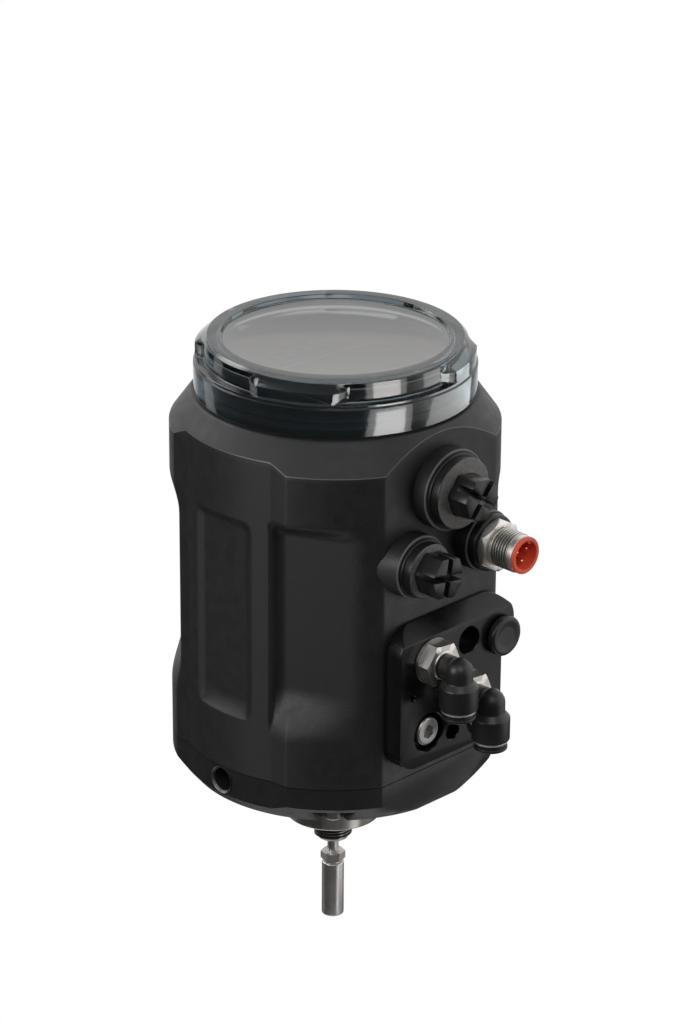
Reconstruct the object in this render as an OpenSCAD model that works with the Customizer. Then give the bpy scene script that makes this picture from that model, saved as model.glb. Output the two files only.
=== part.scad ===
// Valve positioner: a round black housing under a clear screw lid, with a push rod below and its ports on one side.
// Millimetres. Origin on the axis at the underside of the base plate, +Z up, the connector face looks along -Y.

/* [Housing] */
// Outside diameter of the body at its four corner ribs
body_d = 100; // [98:0.5:104]
// Height of the housing from the seam up to the lid
housing_h = 110; // [108:0.5:116]
// Depth of the flat connector face below the ribs
face_cut = 5.8; // [4.6:0.1:6.2]
// Depth of the shallow relief on the three plain sides
relief = 2; // [1.4:0.1:2.4]
// Height of the conical shoulder under the lid
shoulder_h = 9.3; // [8:0.1:11]
// Distance from the outside of the ribs in to the inner space
wall = 12; // [11.4:0.1:12.4]
// Depth of the long pocket in each plain side
side_pocket = 2.4; // [1.6:0.1:2.8]
// Width of the long pocket in each plain side
side_pocket_w = 22.4; // [18:0.2:25]
// Length of the corner pockets
pocket_h = 68; // [60:0.5:72]

/* [Base] */
// Thickness of the base plate
base_h = 12.5; // [12:0.1:14]
// Height of the slope around the underside
base_slope_h = 6; // [5:0.1:7]
// Width of the slope around the underside
base_slope_w = 5; // [4:0.1:6]
// Distance of the base screws in from the outside of the ribs
screw_inset = 7; // [6.6:0.1:7.6]
// Radius of the clamp hole in the side of the base
clamp_hole_r = 3.6; // [3:0.1:3.8]

/* [Mounting spigot and push rod] */
// Radius of the mounting spigot
spigot_r = 15; // [14:0.1:17]
// Length of the mounting spigot
spigot_h = 19.5; // [17:0.1:24]
// Radius of the threaded nipple
nipple_r = 6; // [5.8:0.1:7]
// Length of the nipple below the spigot
nipple_h = 9; // [7:0.1:10]
// Radius of the push rod
rod_r = 1.75; // [1.5:0.05:2]
// Length of rod seen between nipple and lock nut
rod_gap = 5.5; // [4:0.1:8]
// Length of the coupling sleeve
sleeve_h = 18.7; // [14:0.1:24]
// Radius of the coupling sleeve
sleeve_r = 3.5; // [3.2:0.05:3.8]
// Stroke of the push rod
stroke = 25; // [20:0.5:26]

/* [Lid and panel] */
// Distance from the outside of the ribs in to the lid
lid_inset = 7.4; // [7:0.1:7.7]
// Height of the lid
lid_h = 17.3; // [16.8:0.1:20]
// Width of the flat rim around the clear window
window_rim = 4.4; // [3.4:0.1:8]
// Depth of the four grip recesses in the lid
grip_depth = 2.2; // [1:0.1:2.6]
// Width of each grip recess
grip_w = 20; // [14:0.2:24]
// Width and depth of one key
key_w = 7.9; // [6:0.1:8.1]
// Travel of a key
key_travel = 0.6; // [0.3:0.05:0.8]

/* [Connector face] */
// Length of the round bosses on the connector face
boss_h = 5; // [4:0.1:6]
// Distance of the large plug below the top of the housing
plug_a_drop = 18.9; // [18.1:0.1:19.7]
// Distance of the small plug and the round connector below the top of the housing
plug_b_drop = 39.5; // [38.7:0.1:40.1]
// Sideways place of the small plug
plug_b_x = -13.2; // [-13.8:0.1:-13]
// Sideways place of the round connector
conn_x = 15.4; // [14.8:0.1:16]
// Length of the round connector beyond its nut
conn_l = 10.3; // [9:0.1:13]

/* [Air connections] */
// Thickness of the air block with its gasket
block_h = 6.2; // [5.8:0.1:8]
// Width of the air block
block_w = 44; // [42:0.1:45]
// Height of the air block
block_l = 45.6; // [44.6:0.1:46.4]
// Radius of the upper corners of the air block
block_corner = 9; // [6:0.1:10]
// Gap between a stem's hex and the sleeve of its elbow
elbow_gap = 0.3; // [0.3:0.05:1.3]
// Radius of an elbow's tube
elbow_r = 4.2; // [4:0.1:4.4]
// Radius of an elbow's sleeve
port_r = 5.8; // [5.75:0.01:5.9]
// Radius of the tube that the ports take
tube_r = 3; // [2:0.1:3.1]
// Travel of a release collet
collet_travel = 1; // [0.6:0.1:1.2]
// Radius of the vent cap
vent_r = 6.3; // [5.8:0.1:7]

/* [Hidden] */
$fn = 96;
eps = 0.05;
gap = 0.3;
run = 0.05;
rib_r = body_d / 2;
side_r = rib_r - relief;
face_d = rib_r - face_cut;
cavity_r = rib_r - wall;
screw_circle_r = rib_r - screw_inset;
lid_r = rib_r - lid_inset;
seam_z = base_h;
floor_z = base_h + 2.5;
seat_h = 1.2;
top_z = base_h + housing_h;
edge_z = top_z - shoulder_h;
cavity_top = top_z - 8;
rib_half = 16.5;
ramp_half = 23.2;
pocket_floor = rib_r - 6.4;
back_floor = rib_r - 3.4;
pocket_z = seam_z + 16;
neck_r = lid_r - 3.4;
neck_bore = neck_r - 3.2;
neck_top = top_z + 8.1;
shoulder_r = lid_r + 0.7;
shoulder_run = (rib_r - shoulder_r) / shoulder_h;
base_run = base_slope_w / base_slope_h;
panel_z = neck_top - 1.8;
panel_h = 1.4;
ledge_r = neck_bore - 2.4;
lid_bore = neck_r + gap;
lid_step = neck_top + 1.4;
lid_top = top_z + lid_h;
window_h = 2.4;
window_top = lid_top - 1.2;
lid_cavity_r = neck_bore - 0.2;
ring_r = lid_r - 4.2;
window_r = ring_r - window_rim;
lid_band_z = top_z + 9.4;
key_top = panel_z + 0.9;
key_pitch = key_w + 0.6;
key_y = 11.7;
board_z = cavity_top - 1;
board_h = 1.6;
board_r = ledge_r - 1;
spigot_end = -spigot_h;
nipple_end = spigot_end - nipple_h;
nut_top = nipple_end - rod_gap;
nut_h = 2.5;
nut_r = sleeve_r * 1.12;
sleeve_top = nut_top - nut_h - 0.9;
rod_end = sleeve_top - sleeve_h;
guide_bore = nut_r + 0.55;
bush_z = nut_top + stroke + 0.5;
bush_r = guide_bore + 0.5;
sensor_r = 9;
sensor_bore = 6.5;
sensor_top = cavity_top - 12;
wiper_z = sensor_top - stroke - 26;
head_r = 2.8;
head_h = 4.2;
clamp_z = base_h - clamp_hole_r - 0.9;
plug_a_z = top_z - plug_a_drop;
plug_b_z = top_z - plug_b_drop;
plug_a_x = 0.6;
plug_a_r = 12.6;
plug_head_r = 7.2;
plug_head_h = 7.5;
plug_flange_h = 2.8;
slot_w = 2;
plug_b_r = 10;
conn_r = 9.5;
conn_tip = boss_h + 5.2 + conn_l;
conn_bore = 5.3;
conn_thread_r = 6;
conn_hex_r = 8.6;
conn_hex_h = 3.1;
conn_seal_h = 2.6;
conn_rim = 1;
pin_r = 0.5;
pin_at = 2.25;
block_x0 = -22.6;
block_z0 = seam_z + 6;
block_foot = 7;
block_slope = 4.2;
gasket_h = 0.5;
hex_z = block_h + 0.7;
hex_h = 4.4;
hex_r = 7.1;
stem_r = 4.8;
washer_r = 7.2;
stem_pin = tube_r - 0.6;
elbow_neck = elbow_r - 0.5;
neck_z = hex_z + hex_h + 0.6;
elbow_z = hex_z + hex_h + port_r + elbow_gap;
stem_end = elbow_z - 1.2;
port_a = [-9.3, block_z0 + 33.9];
port_b = [5, block_z0 + 19.1];
vent_at = [20.6, block_z0 + 32.7];
exhaust_at = [6.8, block_z0 + 35.1];
screw_a = [-10, block_z0 + 10.3];
screw_b = [12.6, block_z0 + 8.4];
pit_at = [0.3, block_z0 + 7];
block_screw_r = 4.5;
block_screw_h = 3.2;
block_shank_r = 2.1;
exhaust_r = 4.3;
valve_w = 34;
valve_d = 16;
valve_h = 52.5;
valve_gap = 12.2;
valve_y = valve_gap - face_d;
valve_top = floor_z + valve_h;
nozzle_r = 3.4;
nozzle_h = 3.6;
air_r = 2;
pilot_r = 6;
pilot_h = 18;
post_r = 2.5;
post_inset = 6.4;
display_w = 40;
display_l = 22;
display_y = -21;
socket_r = tube_r + run;
cart_r = port_r - 0.5;
cart_bore = cart_r - 0.6;
collet_r = cart_bore - run;
leg_cone = 2.9;
leg_sleeve = 4.7;
leg_end = 11.4;
tube_stop = 3.4;
cart_start = 8;
cart_end = 12.7;
collet_start = 8.4;
collet_lip = 13;
collet_end = 15;
vent_stem_r = 4;
wiper_h = 6;

function pol(r, a) = [r * cos(a), r * sin(a)];

pin_spots = [for (a = [33, 153, 273]) pol(pin_at, a)];

module on_face(p) {
    translate([p[0], -face_d, p[1]]) rotate([90, 0, 0]) children();
}

module ring(ro, ri, z0, z1) {
    difference() {
        translate([0, 0, z0]) cylinder(r = ro, h = z1 - z0);
        translate([0, 0, z0 - 1]) cylinder(r = ri, h = z1 - z0 + 2);
    }
}

module rod(r, z0, z1) {
    translate([0, 0, z0]) cylinder(r = r, h = z1 - z0);
}

module hexagon(r, z0, z1) {
    translate([0, 0, z0]) cylinder(r = r, h = z1 - z0, $fn = 6);
}

module rib(a, low, high) {
    reach = 1.3 * rib_r;
    low_foot = pol(side_r, low < rib_half + 1 ? -ramp_half : -low);
    high_foot = pol(side_r, high < rib_half + 1 ? ramp_half : high);
    low_step = low_foot - pol(rib_r, -low);
    high_step = high_foot - pol(rib_r, high);
    intersection() {
        circle(r = rib_r);
        rotate(a) polygon([[0, 0], low_foot + 0.4 * low_step, pol(rib_r, -low) - 0.4 * low_step, pol(reach, -low),
            pol(reach, high), pol(rib_r, high) - 0.4 * high_step, high_foot + 0.4 * high_step]);
    }
}

module plan() {
    difference() {
        union() {
            circle(r = side_r);
            rib(45, rib_half, rib_half);
            rib(135, rib_half, rib_half);
            rib(225, rib_half, 30);
            rib(315, 30, rib_half);
        }
        translate([-rib_r - 1, -face_d - rib_r]) square([2 * rib_r + 2, rib_r]);
    }
}

module pocket_cut(floor_at, low, high, z0, z1, run_low, run_high) {
    out = rib_r + 2;
    depth = out - floor_at;
    translate([0, high, 0]) rotate([90, 0, 0]) linear_extrude(high - low)
        polygon([[floor_at, z0 + run_low], [out, z0 - 1], [out, z1 + 1], [floor_at, z1 - run_high]]);
}

module housing() {
    color([0.06, 0.06, 0.065]) difference() {
        union() {
            difference() {
                translate([0, 0, seam_z]) linear_extrude(housing_h) plan();
                rotate_extrude() polygon([[shoulder_r - shoulder_run, top_z + 1],
                    [rib_r + 3, edge_z - 3 / shoulder_run], [rib_r + 3, top_z + 1]]);
            }
            rod(neck_r, top_z - 1, neck_top);
            on_face([plug_a_x, plug_a_z]) rod(plug_a_r, -2, boss_h);
            on_face([plug_b_x, plug_b_z]) rod(plug_b_r, -4, boss_h);
            on_face([conn_x, plug_b_z]) rod(conn_r, -4, boss_h);
        }
        rod(cavity_r, seam_z - 1, cavity_top);
        rod(ledge_r, seam_z, neck_top + 1);
        rod(neck_bore, panel_z - panel_h, neck_top + 1);
        for (a = [0, 90, 180])
            rotate(a) pocket_cut(side_r - side_pocket, -side_pocket_w / 2, side_pocket_w / 2,
                pocket_z + 3, pocket_z + pocket_h - 1, 9, 8);
        for (a = [45, 135])
            rotate(a) pocket_cut(back_floor, -26, 26, pocket_z, pocket_z + pocket_h, 11, 8);
        rotate(205) pocket_cut(pocket_floor, -2.1, 27, pocket_z, pocket_z + pocket_h, 11, 8);
        rotate(335) pocket_cut(pocket_floor, -27, 2.1, pocket_z, pocket_z + pocket_h, 11, 8);
        on_face([plug_a_x, plug_a_z]) rod(plug_a_r - 3.6, -12, boss_h + 1);
        on_face([plug_b_x, plug_b_z]) rod(plug_b_r - 3.5, -16, boss_h + 1);
        on_face([conn_x, plug_b_z]) rod(conn_r - 3.6, -16, boss_h + 1);
        for (p = [port_a, port_b, exhaust_at])
            on_face(p) rod(air_r, -14, 1);
        for (p = [screw_a, screw_b])
            on_face(p) rod(block_shank_r, -5, 1);
        for (a = [45:90:315])
            rotate(a) translate([screw_circle_r, 0, 0]) rod(1.5, seam_z - 1, seam_z + 10);
    }
}

module base_plate() {
    color([0.06, 0.06, 0.065]) difference() {
        union() {
            difference() {
                linear_extrude(base_h) plan();
                rotate_extrude() polygon([[rib_r - base_slope_w - base_run, -1], [rib_r + 3, -1],
                    [rib_r + 3, base_slope_h + 3 / base_run]]);
            }
            rod(cavity_r - gap, base_h - 1, floor_z);
        }
        rod(spigot_r - 5, -1, base_h + 4);
        rod(spigot_r + 1.5, -1, seat_h);
        ring(cavity_r + 2.4, cavity_r + 0.6, base_h - 0.8, base_h + 1);
        for (a = [45:90:315])
            rotate(a) {
                translate([screw_circle_r, 0, 0]) rod(1.5, -1, base_h + 1);
                translate([0, 0, -1]) linear_extrude(1.3 + head_h) union() {
                    translate([screw_circle_r, 0]) circle(r = head_r + gap);
                    polygon([[screw_circle_r - 5.4, 0], [rib_r + 3, -9.4], [rib_r + 3, 9.4]]);
                }
            }
        translate([0, 0, clamp_z]) rotate([0, -90, 0]) {
            rod(clamp_hole_r, 5, rib_r + 5);
            translate([0, 0, side_r - 0.6]) cylinder(r1 = clamp_hole_r, r2 = clamp_hole_r + 0.65, h = 0.65);
        }
    }
}

module base_gasket() {
    color([0.03, 0.03, 0.03]) ring(cavity_r + 2.4, cavity_r + 0.6, base_h - 0.8, base_h);
}

module base_screws() {
    color([0.72, 0.72, 0.74]) for (a = [45:90:315])
        rotate(a) translate([screw_circle_r, 0, 0]) difference() {
            union() {
                rod(head_r, 0.3, 0.3 + head_h);
                rod(1.5, 0.3 + head_h - 0.5, seam_z + 8);
            }
            hexagon(1.45, 0, 2);
        }
}

module mounting_spigot() {
    color([0.74, 0.74, 0.75]) difference() {
        union() {
            rotate_extrude() polygon([[0, spigot_end], [spigot_r - 0.5, spigot_end], [spigot_r, spigot_end + 0.5],
                [spigot_r, 0], [spigot_r - 1.5, 0], [spigot_r - 1.5, seat_h], [0, seat_h]]);
            rod(spigot_r - 5, seat_h - 1, floor_z);
        }
        rod(nipple_r - 0.5, spigot_end - 1, bush_z);
        rod(bush_r, bush_z - 1, base_h + 4);
        translate([0, 0, clamp_z]) rotate([0, -90, 0]) rod(1.6, spigot_r - 6.6, spigot_r + 4);
    }
}

module threaded_nipple() {
    color([0.74, 0.74, 0.75]) difference() {
        rotate_extrude() polygon([[0, nipple_end], [nipple_r - 1.1, nipple_end], [nipple_r, nipple_end + 1.4],
            [nipple_r, spigot_end], [nipple_r - 0.5, spigot_end], [nipple_r - 0.5, bush_z - 0.5], [0, bush_z - 0.5]]);
        rod(guide_bore, nipple_end - 1, bush_z);
    }
}

module guide_bush() {
    color([0.62, 0.48, 0.22]) difference() {
        rod(bush_r, bush_z, floor_z);
        rod(rod_r + run, bush_z - 3, base_h + 5);
    }
}

module clamp_screw() {
    color([0.3, 0.3, 0.31]) translate([0, 0, clamp_z]) rotate([0, -90, 0]) difference() {
        union() {
            rod(clamp_hole_r, spigot_r - 4.9, rib_r - 16);
            rod(1.6, spigot_r - 6.4, spigot_r);
        }
        hexagon(1.9, rib_r - 20, rib_r);
    }
}

module travel_sensor() {
    color([0.12, 0.13, 0.14]) difference() {
        union() {
            rod(sensor_r, floor_z, sensor_top);
            rod(sensor_r + 5, floor_z, floor_z + 2.5);
        }
        rod(sensor_bore, base_h, sensor_top - 2);
    }
}

module push_rod() {
    color([0.75, 0.75, 0.76]) rod(rod_r, sleeve_top - 6, wiper_z + 7);
}

module lock_nut() {
    color([0.75, 0.75, 0.76]) difference() {
        intersection() {
            hexagon(nut_r, nut_top - nut_h, nut_top);
            rotate_extrude() polygon([[0, nut_top - nut_h], [nut_r - 0.35, nut_top - nut_h],
                [nut_r, nut_top - nut_h + 0.3], [nut_r, nut_top - 0.3], [nut_r - 0.35, nut_top], [0, nut_top]]);
        }
        rod(rod_r, nut_top - nut_h - 1, nut_top + 1);
    }
}

module coupling_sleeve() {
    color([0.75, 0.75, 0.76]) difference() {
        rotate_extrude() polygon([[0, rod_end], [sleeve_r - 0.5, rod_end], [sleeve_r, rod_end + 0.5],
            [sleeve_r, sleeve_top - 0.6], [sleeve_r - 0.6, sleeve_top], [sleeve_r - 0.6, sleeve_top + 0.9],
            [0, sleeve_top + 0.9]]);
        rod(rod_r, sleeve_top - 6, sleeve_top + 2);
    }
}

module sensor_wiper() {
    color([0.85, 0.83, 0.76]) difference() {
        rod(sensor_bore - gap, wiper_z, wiper_z + wiper_h);
        rod(rod_r, wiper_z - 1, wiper_z + wiper_h + 2);
    }
}

module return_spring() {
    low = wiper_z + wiper_h + 0.1;
    h = sensor_top - 2.2 - low;
    color([0.7, 0.7, 0.72]) translate([0, 0, low])
        linear_extrude(h, twist = -3240, slices = 90, convexity = 10, $fn = 6)
            polygon([for (a = [0, 28, 56]) pol(5.2, a), for (a = [56, 28, 0]) pol(4.5, a)]);
}

module board_posts() {
    color([0.8, 0.78, 0.7]) for (a = [30, 150, 270])
        rotate(a) translate([board_r - post_inset, 0, 0]) {
            if (a != 270) rod(post_r, floor_z, board_z);
            rod(post_r, board_z + board_h, panel_z - panel_h);
        }
}

module main_board() {
    color([0.05, 0.25, 0.12]) {
        rod(board_r, board_z, board_z + board_h);
        translate([-9, -9, board_z + board_h - 0.1]) cube([14, 12, 2]);
        translate([8, -6, board_z + board_h - 0.1]) cube([8, 8, 1.4]);
    }
}

module panel_plate() {
    color([0.16, 0.15, 0.15]) difference() {
        rod(neck_bore, panel_z - panel_h, panel_z);
        translate([-display_w / 2, display_y, panel_z - 3]) cube([display_w, display_l, 6]);
        for (i = [0:3])
            translate([(i - 1.5) * key_pitch, key_y, panel_z])
                cube([key_w + 2 * gap, key_w + 2 * gap, 6], center = true);
    }
}

module display() {
    color([0.2, 0.24, 0.26]) {
        translate([-display_w / 2, display_y, panel_z - panel_h - 2]) cube([display_w, display_l, panel_h + 1.8]);
        translate([-display_w / 2 - 2, display_y - 2, panel_z - panel_h - 2]) cube([display_w + 4, display_l + 4, 2]);
    }
}

module key_cap(i) {
    color([0.36, 0.34, 0.33]) translate([(i - 1.5) * key_pitch, key_y, 0]) {
        translate([-key_w / 2, -key_w / 2, panel_z - panel_h - 0.5])
            cube([key_w, key_w, key_top - panel_z + panel_h + 0.5]);
        rod(1.6, board_z + board_h + key_travel + gap, panel_z - panel_h - 0.4);
    }
}

module key_1() { key_cap(0); }

module key_2() { key_cap(1); }

module key_3() { key_cap(2); }

module key_4() { key_cap(3); }

module lid_seal() {
    color([0.03, 0.03, 0.03]) ring(lid_bore - 0.4, lid_cavity_r + 0.6, neck_top + gap, lid_step - gap);
}

module lid() {
    color([0.25, 0.27, 0.3, 0.45]) difference() {
        rotate_extrude() polygon([[lid_bore, top_z + gap], [lid_r - 0.4, top_z + gap], [lid_r, top_z + gap + 0.4],
            [lid_r, lid_band_z - 0.4], [lid_r - 0.5, lid_band_z], [lid_r - 0.5, lid_top - 3.4], [ring_r, lid_top],
            [window_r + 0.5, lid_top], [window_r, lid_top - 0.5], [window_r, window_top], [0, window_top],
            [0, window_top - window_h], [lid_cavity_r, window_top - window_h], [lid_cavity_r, lid_step],
            [lid_bore, lid_step]]);
        for (a = [0:90:270])
            rotate(a - 4.5) translate([lid_r - grip_depth, 0, lid_band_z + 1]) rotate([90, 0, 90]) linear_extrude(10)
                polygon([[-grip_w / 2, 0], [grip_w / 2, 0], [grip_w / 2 + 5, 10], [-grip_w / 2 - 5, 10]]);
    }
}

module valve_block() {
    color([0.5, 0.5, 0.52]) difference() {
        translate([-valve_w / 2, valve_y, floor_z]) cube([valve_w, valve_d, valve_h]);
        for (p = [port_a, port_b, exhaust_at])
            on_face(p) rod(air_r, -valve_gap - 6, -valve_gap + 2);
    }
    color([0.5, 0.5, 0.52]) for (p = [port_a, port_b, exhaust_at])
        on_face(p) ring(nozzle_r, air_r, -valve_gap - 0.5, -valve_gap + nozzle_h);
}

module pilot_valves() {
    color([0.2, 0.2, 0.22]) for (x = [-valve_w / 4, valve_w / 4])
        translate([x, valve_y + valve_d / 2, 0]) {
            rod(pilot_r, valve_top, valve_top + pilot_h);
            rod(air_r, valve_top + pilot_h - 1, valve_top + pilot_h + 3);
        }
}

module plug(r, head, turn) {
    shank = r - 3.6;
    flange = boss_h + 0.8 + plug_flange_h;
    difference() {
        union() {
            rod(shank, -4, boss_h + 0.9);
            rotate_extrude() polygon([[0, boss_h + 0.8], [r - 1.6, boss_h + 0.8], [r - 1.6, flange - 0.5],
                [r - 2.1, flange], [0, flange]]);
            rotate(turn) hexagon(head, flange - 0.1, flange + plug_head_h - 0.1);
        }
        for (a = [30, 120])
            rotate(a + turn) translate([-head - 1, -slot_w / 2, flange + 2])
                cube([2 * head + 2, slot_w, plug_head_h]);
    }
}

module large_plug() {
    color([0.09, 0.09, 0.09]) on_face([plug_a_x, plug_a_z]) plug(plug_a_r, plug_head_r, -70);
}

module large_plug_seal() {
    color([0.02, 0.02, 0.02]) on_face([plug_a_x, plug_a_z]) ring(plug_a_r - 1, plug_a_r - 3.6, boss_h, boss_h + 0.8);
}

module small_plug() {
    color([0.09, 0.09, 0.09]) on_face([plug_b_x, plug_b_z]) {
        r = plug_b_r + 0.1;
        plug(r, plug_head_r - 0.2, 50);
    }
}

module small_plug_seal() {
    color([0.02, 0.02, 0.02]) on_face([plug_b_x, plug_b_z]) ring(plug_b_r - 1, plug_b_r - 3.5, boss_h, boss_h + 0.8);
}

module connector_seal() {
    color([0.02, 0.02, 0.02]) on_face([conn_x, plug_b_z])
        ring(conn_r - 0.7, conn_r - 3.6, boss_h, boss_h + conn_seal_h);
}

module connector_shell() {
    hex_start = boss_h + conn_seal_h;
    color([0.72, 0.7, 0.66]) on_face([conn_x, plug_b_z]) difference() {
        union() {
            rod(conn_r - 3.6, -4, hex_start + 0.5);
            rotate(30) hexagon(conn_hex_r, hex_start, hex_start + conn_hex_h);
            rod(conn_thread_r, hex_start + conn_hex_h - 0.1, conn_tip - 2);
            rod(conn_thread_r - 0.25, conn_tip - 3, conn_tip - conn_rim - eps);
        }
        rod(conn_bore, boss_h + 3, conn_tip + 1);
        rod(4.4, -5, conn_tip);
    }
}

module connector_insert() {
    color([0.72, 0.08, 0.05]) on_face([conn_x, plug_b_z]) difference() {
        union() {
            rod(conn_bore, boss_h + 3, conn_tip - conn_rim / 2);
            rod(conn_thread_r - 0.25, conn_tip - conn_rim, conn_tip);
        }
        rod(4.45, boss_h + 7, conn_tip + 1);
        for (p = pin_spots)
            translate(p) rod(pin_r, boss_h, conn_tip);
    }
}

module connector_pins() {
    color([0.85, 0.65, 0.25]) on_face([conn_x, plug_b_z])
        for (p = pin_spots)
            translate(p) rod(pin_r, boss_h, conn_tip - 1.6);
}

module block_plan(inset) {
    w = block_w - 2 * inset;
    l = block_l - 2 * inset;
    c = block_corner - inset / 2;
    f = block_foot - inset / 2;
    translate([block_x0 + inset, block_z0 + inset]) union() {
        translate([c, 0]) square([w - 2 * c, l]);
        translate([0, f]) square([w, l - f - c]);
        translate([f, 0]) square([w - 2 * f, l / 2]);
        for (x = [c, w - c])
            translate([x, l - c]) circle(r = c);
        for (x = [f, w - f])
            translate([x, f]) circle(r = f);
    }
}

module air_block() {
    top = block_z0 + block_l;
    run_out = block_h - 0.7;
    color([0.05, 0.05, 0.055]) on_face([0, 0]) difference() {
        union() {
            translate([0, 0, eps]) linear_extrude(block_h - eps) block_plan(0);
            translate(vent_at) rod(vent_r - 0.2, eps, block_h);
        }
        translate([0, 0, -1]) linear_extrude(gasket_h + 1) block_plan(1.2);
        translate([block_x0 - 5, 0, 0]) rotate([90, 0, 90]) linear_extrude(block_w + 10)
            polygon([[top - 1.3 * block_slope, block_h + 0.3 * run_out],
                [top + 0.3 * block_slope, 0.7 - 0.3 * run_out], [top + 6, -2], [top + 6, block_h + 4],
                [top - 1.3 * block_slope, block_h + 4]]);
        for (p = [port_a, port_b])
            translate(p) rod(stem_r, -1, block_h + 1);
        translate(exhaust_at) rod(air_r, -1, 2);
        translate(exhaust_at) rod(exhaust_r, 1.5, block_h + 1);
        translate(vent_at) rod(vent_stem_r, -1, block_h + 1);
        translate(pit_at) rod(2.6, block_h - 3.5, block_h + 1);
        for (p = [screw_a, screw_b])
            translate(p) {
                rod(block_shank_r, -1, block_h + 1);
                rod(block_screw_r + 1.7, block_h - 0.2 - block_screw_h, block_h + 1);
            }
    }
}

module block_gasket() {
    color([0.02, 0.02, 0.02]) on_face([0, 0]) difference() {
        linear_extrude(gasket_h) block_plan(1.5);
        for (p = [port_a, port_b, exhaust_at])
            translate(p) rod(3, -1, 1);
        for (p = [screw_a, screw_b])
            translate(p) rod(block_shank_r, -1, 1);
        translate(vent_at) rod(vent_stem_r, -1, 1);
    }
}

module block_screws() {
    head = block_h - 0.2;
    color([0.72, 0.72, 0.74]) on_face([0, 0]) for (p = [screw_a, screw_b])
        translate(p) difference() {
            union() {
                rod(block_shank_r, -4.5, head - block_screw_h + 0.4);
                rotate_extrude() polygon([[0, head - block_screw_h], [block_screw_r, head - block_screw_h],
                    [block_screw_r, head - 0.7], [block_screw_r - 0.7, head], [0, head]]);
            }
            hexagon(2.3, head - 2, head + 1);
        }
}

module vent_cap() {
    color([0.05, 0.05, 0.05]) on_face(vent_at) difference() {
        union() {
            rod(vent_stem_r, 1.5, block_h + 0.5);
            rotate_extrude() polygon([[0, block_h], [vent_r - 0.7, block_h], [vent_r, block_h + 0.7],
                [vent_r, block_h + 2.2], [vent_r - 0.9, block_h + 3], [0, block_h + 3]]);
        }
        rod(2.5, 1, block_h + 1.5);
    }
}

module vent_filter() {
    color([0.75, 0.72, 0.66]) on_face(vent_at) rod(vent_stem_r, gasket_h, 1.5);
}

module stem(p) {
    color([0.72, 0.7, 0.66]) on_face(p) difference() {
        union() {
            rod(stem_r, 1, hex_z);
            rotate(-6) hexagon(hex_r, hex_z, hex_z + hex_h);
            rod(elbow_r, hex_z + hex_h - 0.5, neck_z - gap);
            rod(stem_pin, hex_z + hex_h, stem_end);
        }
        rod(stem_pin - 1, 0, elbow_z);
    }
}

module stem_seal(p) {
    color([0.55, 0.55, 0.56]) on_face(p) ring(washer_r, stem_r, block_h, hex_z);
}

module elbow(p) {
    color([0.035, 0.035, 0.04]) on_face(p) difference() {
        union() {
            rod(elbow_neck, neck_z, elbow_z);
            translate([0, 0, elbow_z]) sphere(r = elbow_r);
            translate([0, 0, elbow_z]) rotate([90, 0, 0]) {
                rod(elbow_r, 0, leg_sleeve);
                rotate_extrude() polygon([[0, leg_cone], [elbow_r - 0.4, leg_cone], [port_r, leg_sleeve],
                    [port_r, leg_end - 0.4], [port_r - 0.4, leg_end], [0, leg_end]]);
            }
        }
        rod(stem_pin + run, neck_z - 1, stem_end + 0.4);
        rod(stem_pin - 1, neck_z, elbow_z);
        translate([0, 0, elbow_z]) rotate([90, 0, 0]) {
            rod(stem_pin - 1, 0, tube_stop + 0.6);
            rod(socket_r, tube_stop, cart_start + 1);
            rod(cart_r, cart_start, leg_end + 1);
        }
    }
}

module cartridge(p) {
    color([0.72, 0.7, 0.66]) on_face(p) translate([0, 0, elbow_z]) rotate([90, 0, 0])
        ring(cart_r, cart_bore, cart_start, cart_end);
}

module collet(p) {
    color([0.035, 0.035, 0.04]) on_face(p) translate([0, 0, elbow_z]) rotate([90, 0, 0]) difference() {
        union() {
            rod(collet_r, collet_start + collet_travel, collet_end - 1);
            rod(collet_r + 0.5, collet_lip + collet_travel, collet_end);
        }
        rod(socket_r, collet_start - 1, collet_end + 1);
    }
}

module supply_stem() { stem(port_a); }

module supply_seal() { stem_seal(port_a); }

module supply_elbow() { elbow(port_a); }

module supply_ring() { cartridge(port_a); }

module supply_collet() { collet(port_a); }

module outlet_stem() { stem(port_b); }

module outlet_seal() { stem_seal(port_b); }

module outlet_elbow() { elbow(port_b); }

module outlet_ring() { cartridge(port_b); }

module outlet_collet() { collet(port_b); }

housing();
base_plate();
base_gasket();
base_screws();
mounting_spigot();
threaded_nipple();
guide_bush();
clamp_screw();
travel_sensor();
push_rod();
lock_nut();
coupling_sleeve();
sensor_wiper();
return_spring();
board_posts();
main_board();
panel_plate();
display();
key_1();
key_2();
key_3();
key_4();
lid_seal();
lid();
valve_block();
pilot_valves();
large_plug();
large_plug_seal();
small_plug();
small_plug_seal();
connector_seal();
connector_shell();
connector_insert();
connector_pins();
air_block();
block_gasket();
block_screws();
vent_cap();
vent_filter();
supply_stem();
supply_seal();
supply_elbow();
supply_ring();
supply_collet();
outlet_stem();
outlet_seal();
outlet_elbow();
outlet_ring();
outlet_collet();
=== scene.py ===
"""Valve positioner: dressed pieces, finishes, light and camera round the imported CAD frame.

Shapes are made in millimetres in the part's own frame and scaled to metres when they are shown.
"""
import math

import bmesh
import bpy
import numpy as np
from mathutils import Matrix, Vector


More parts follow.
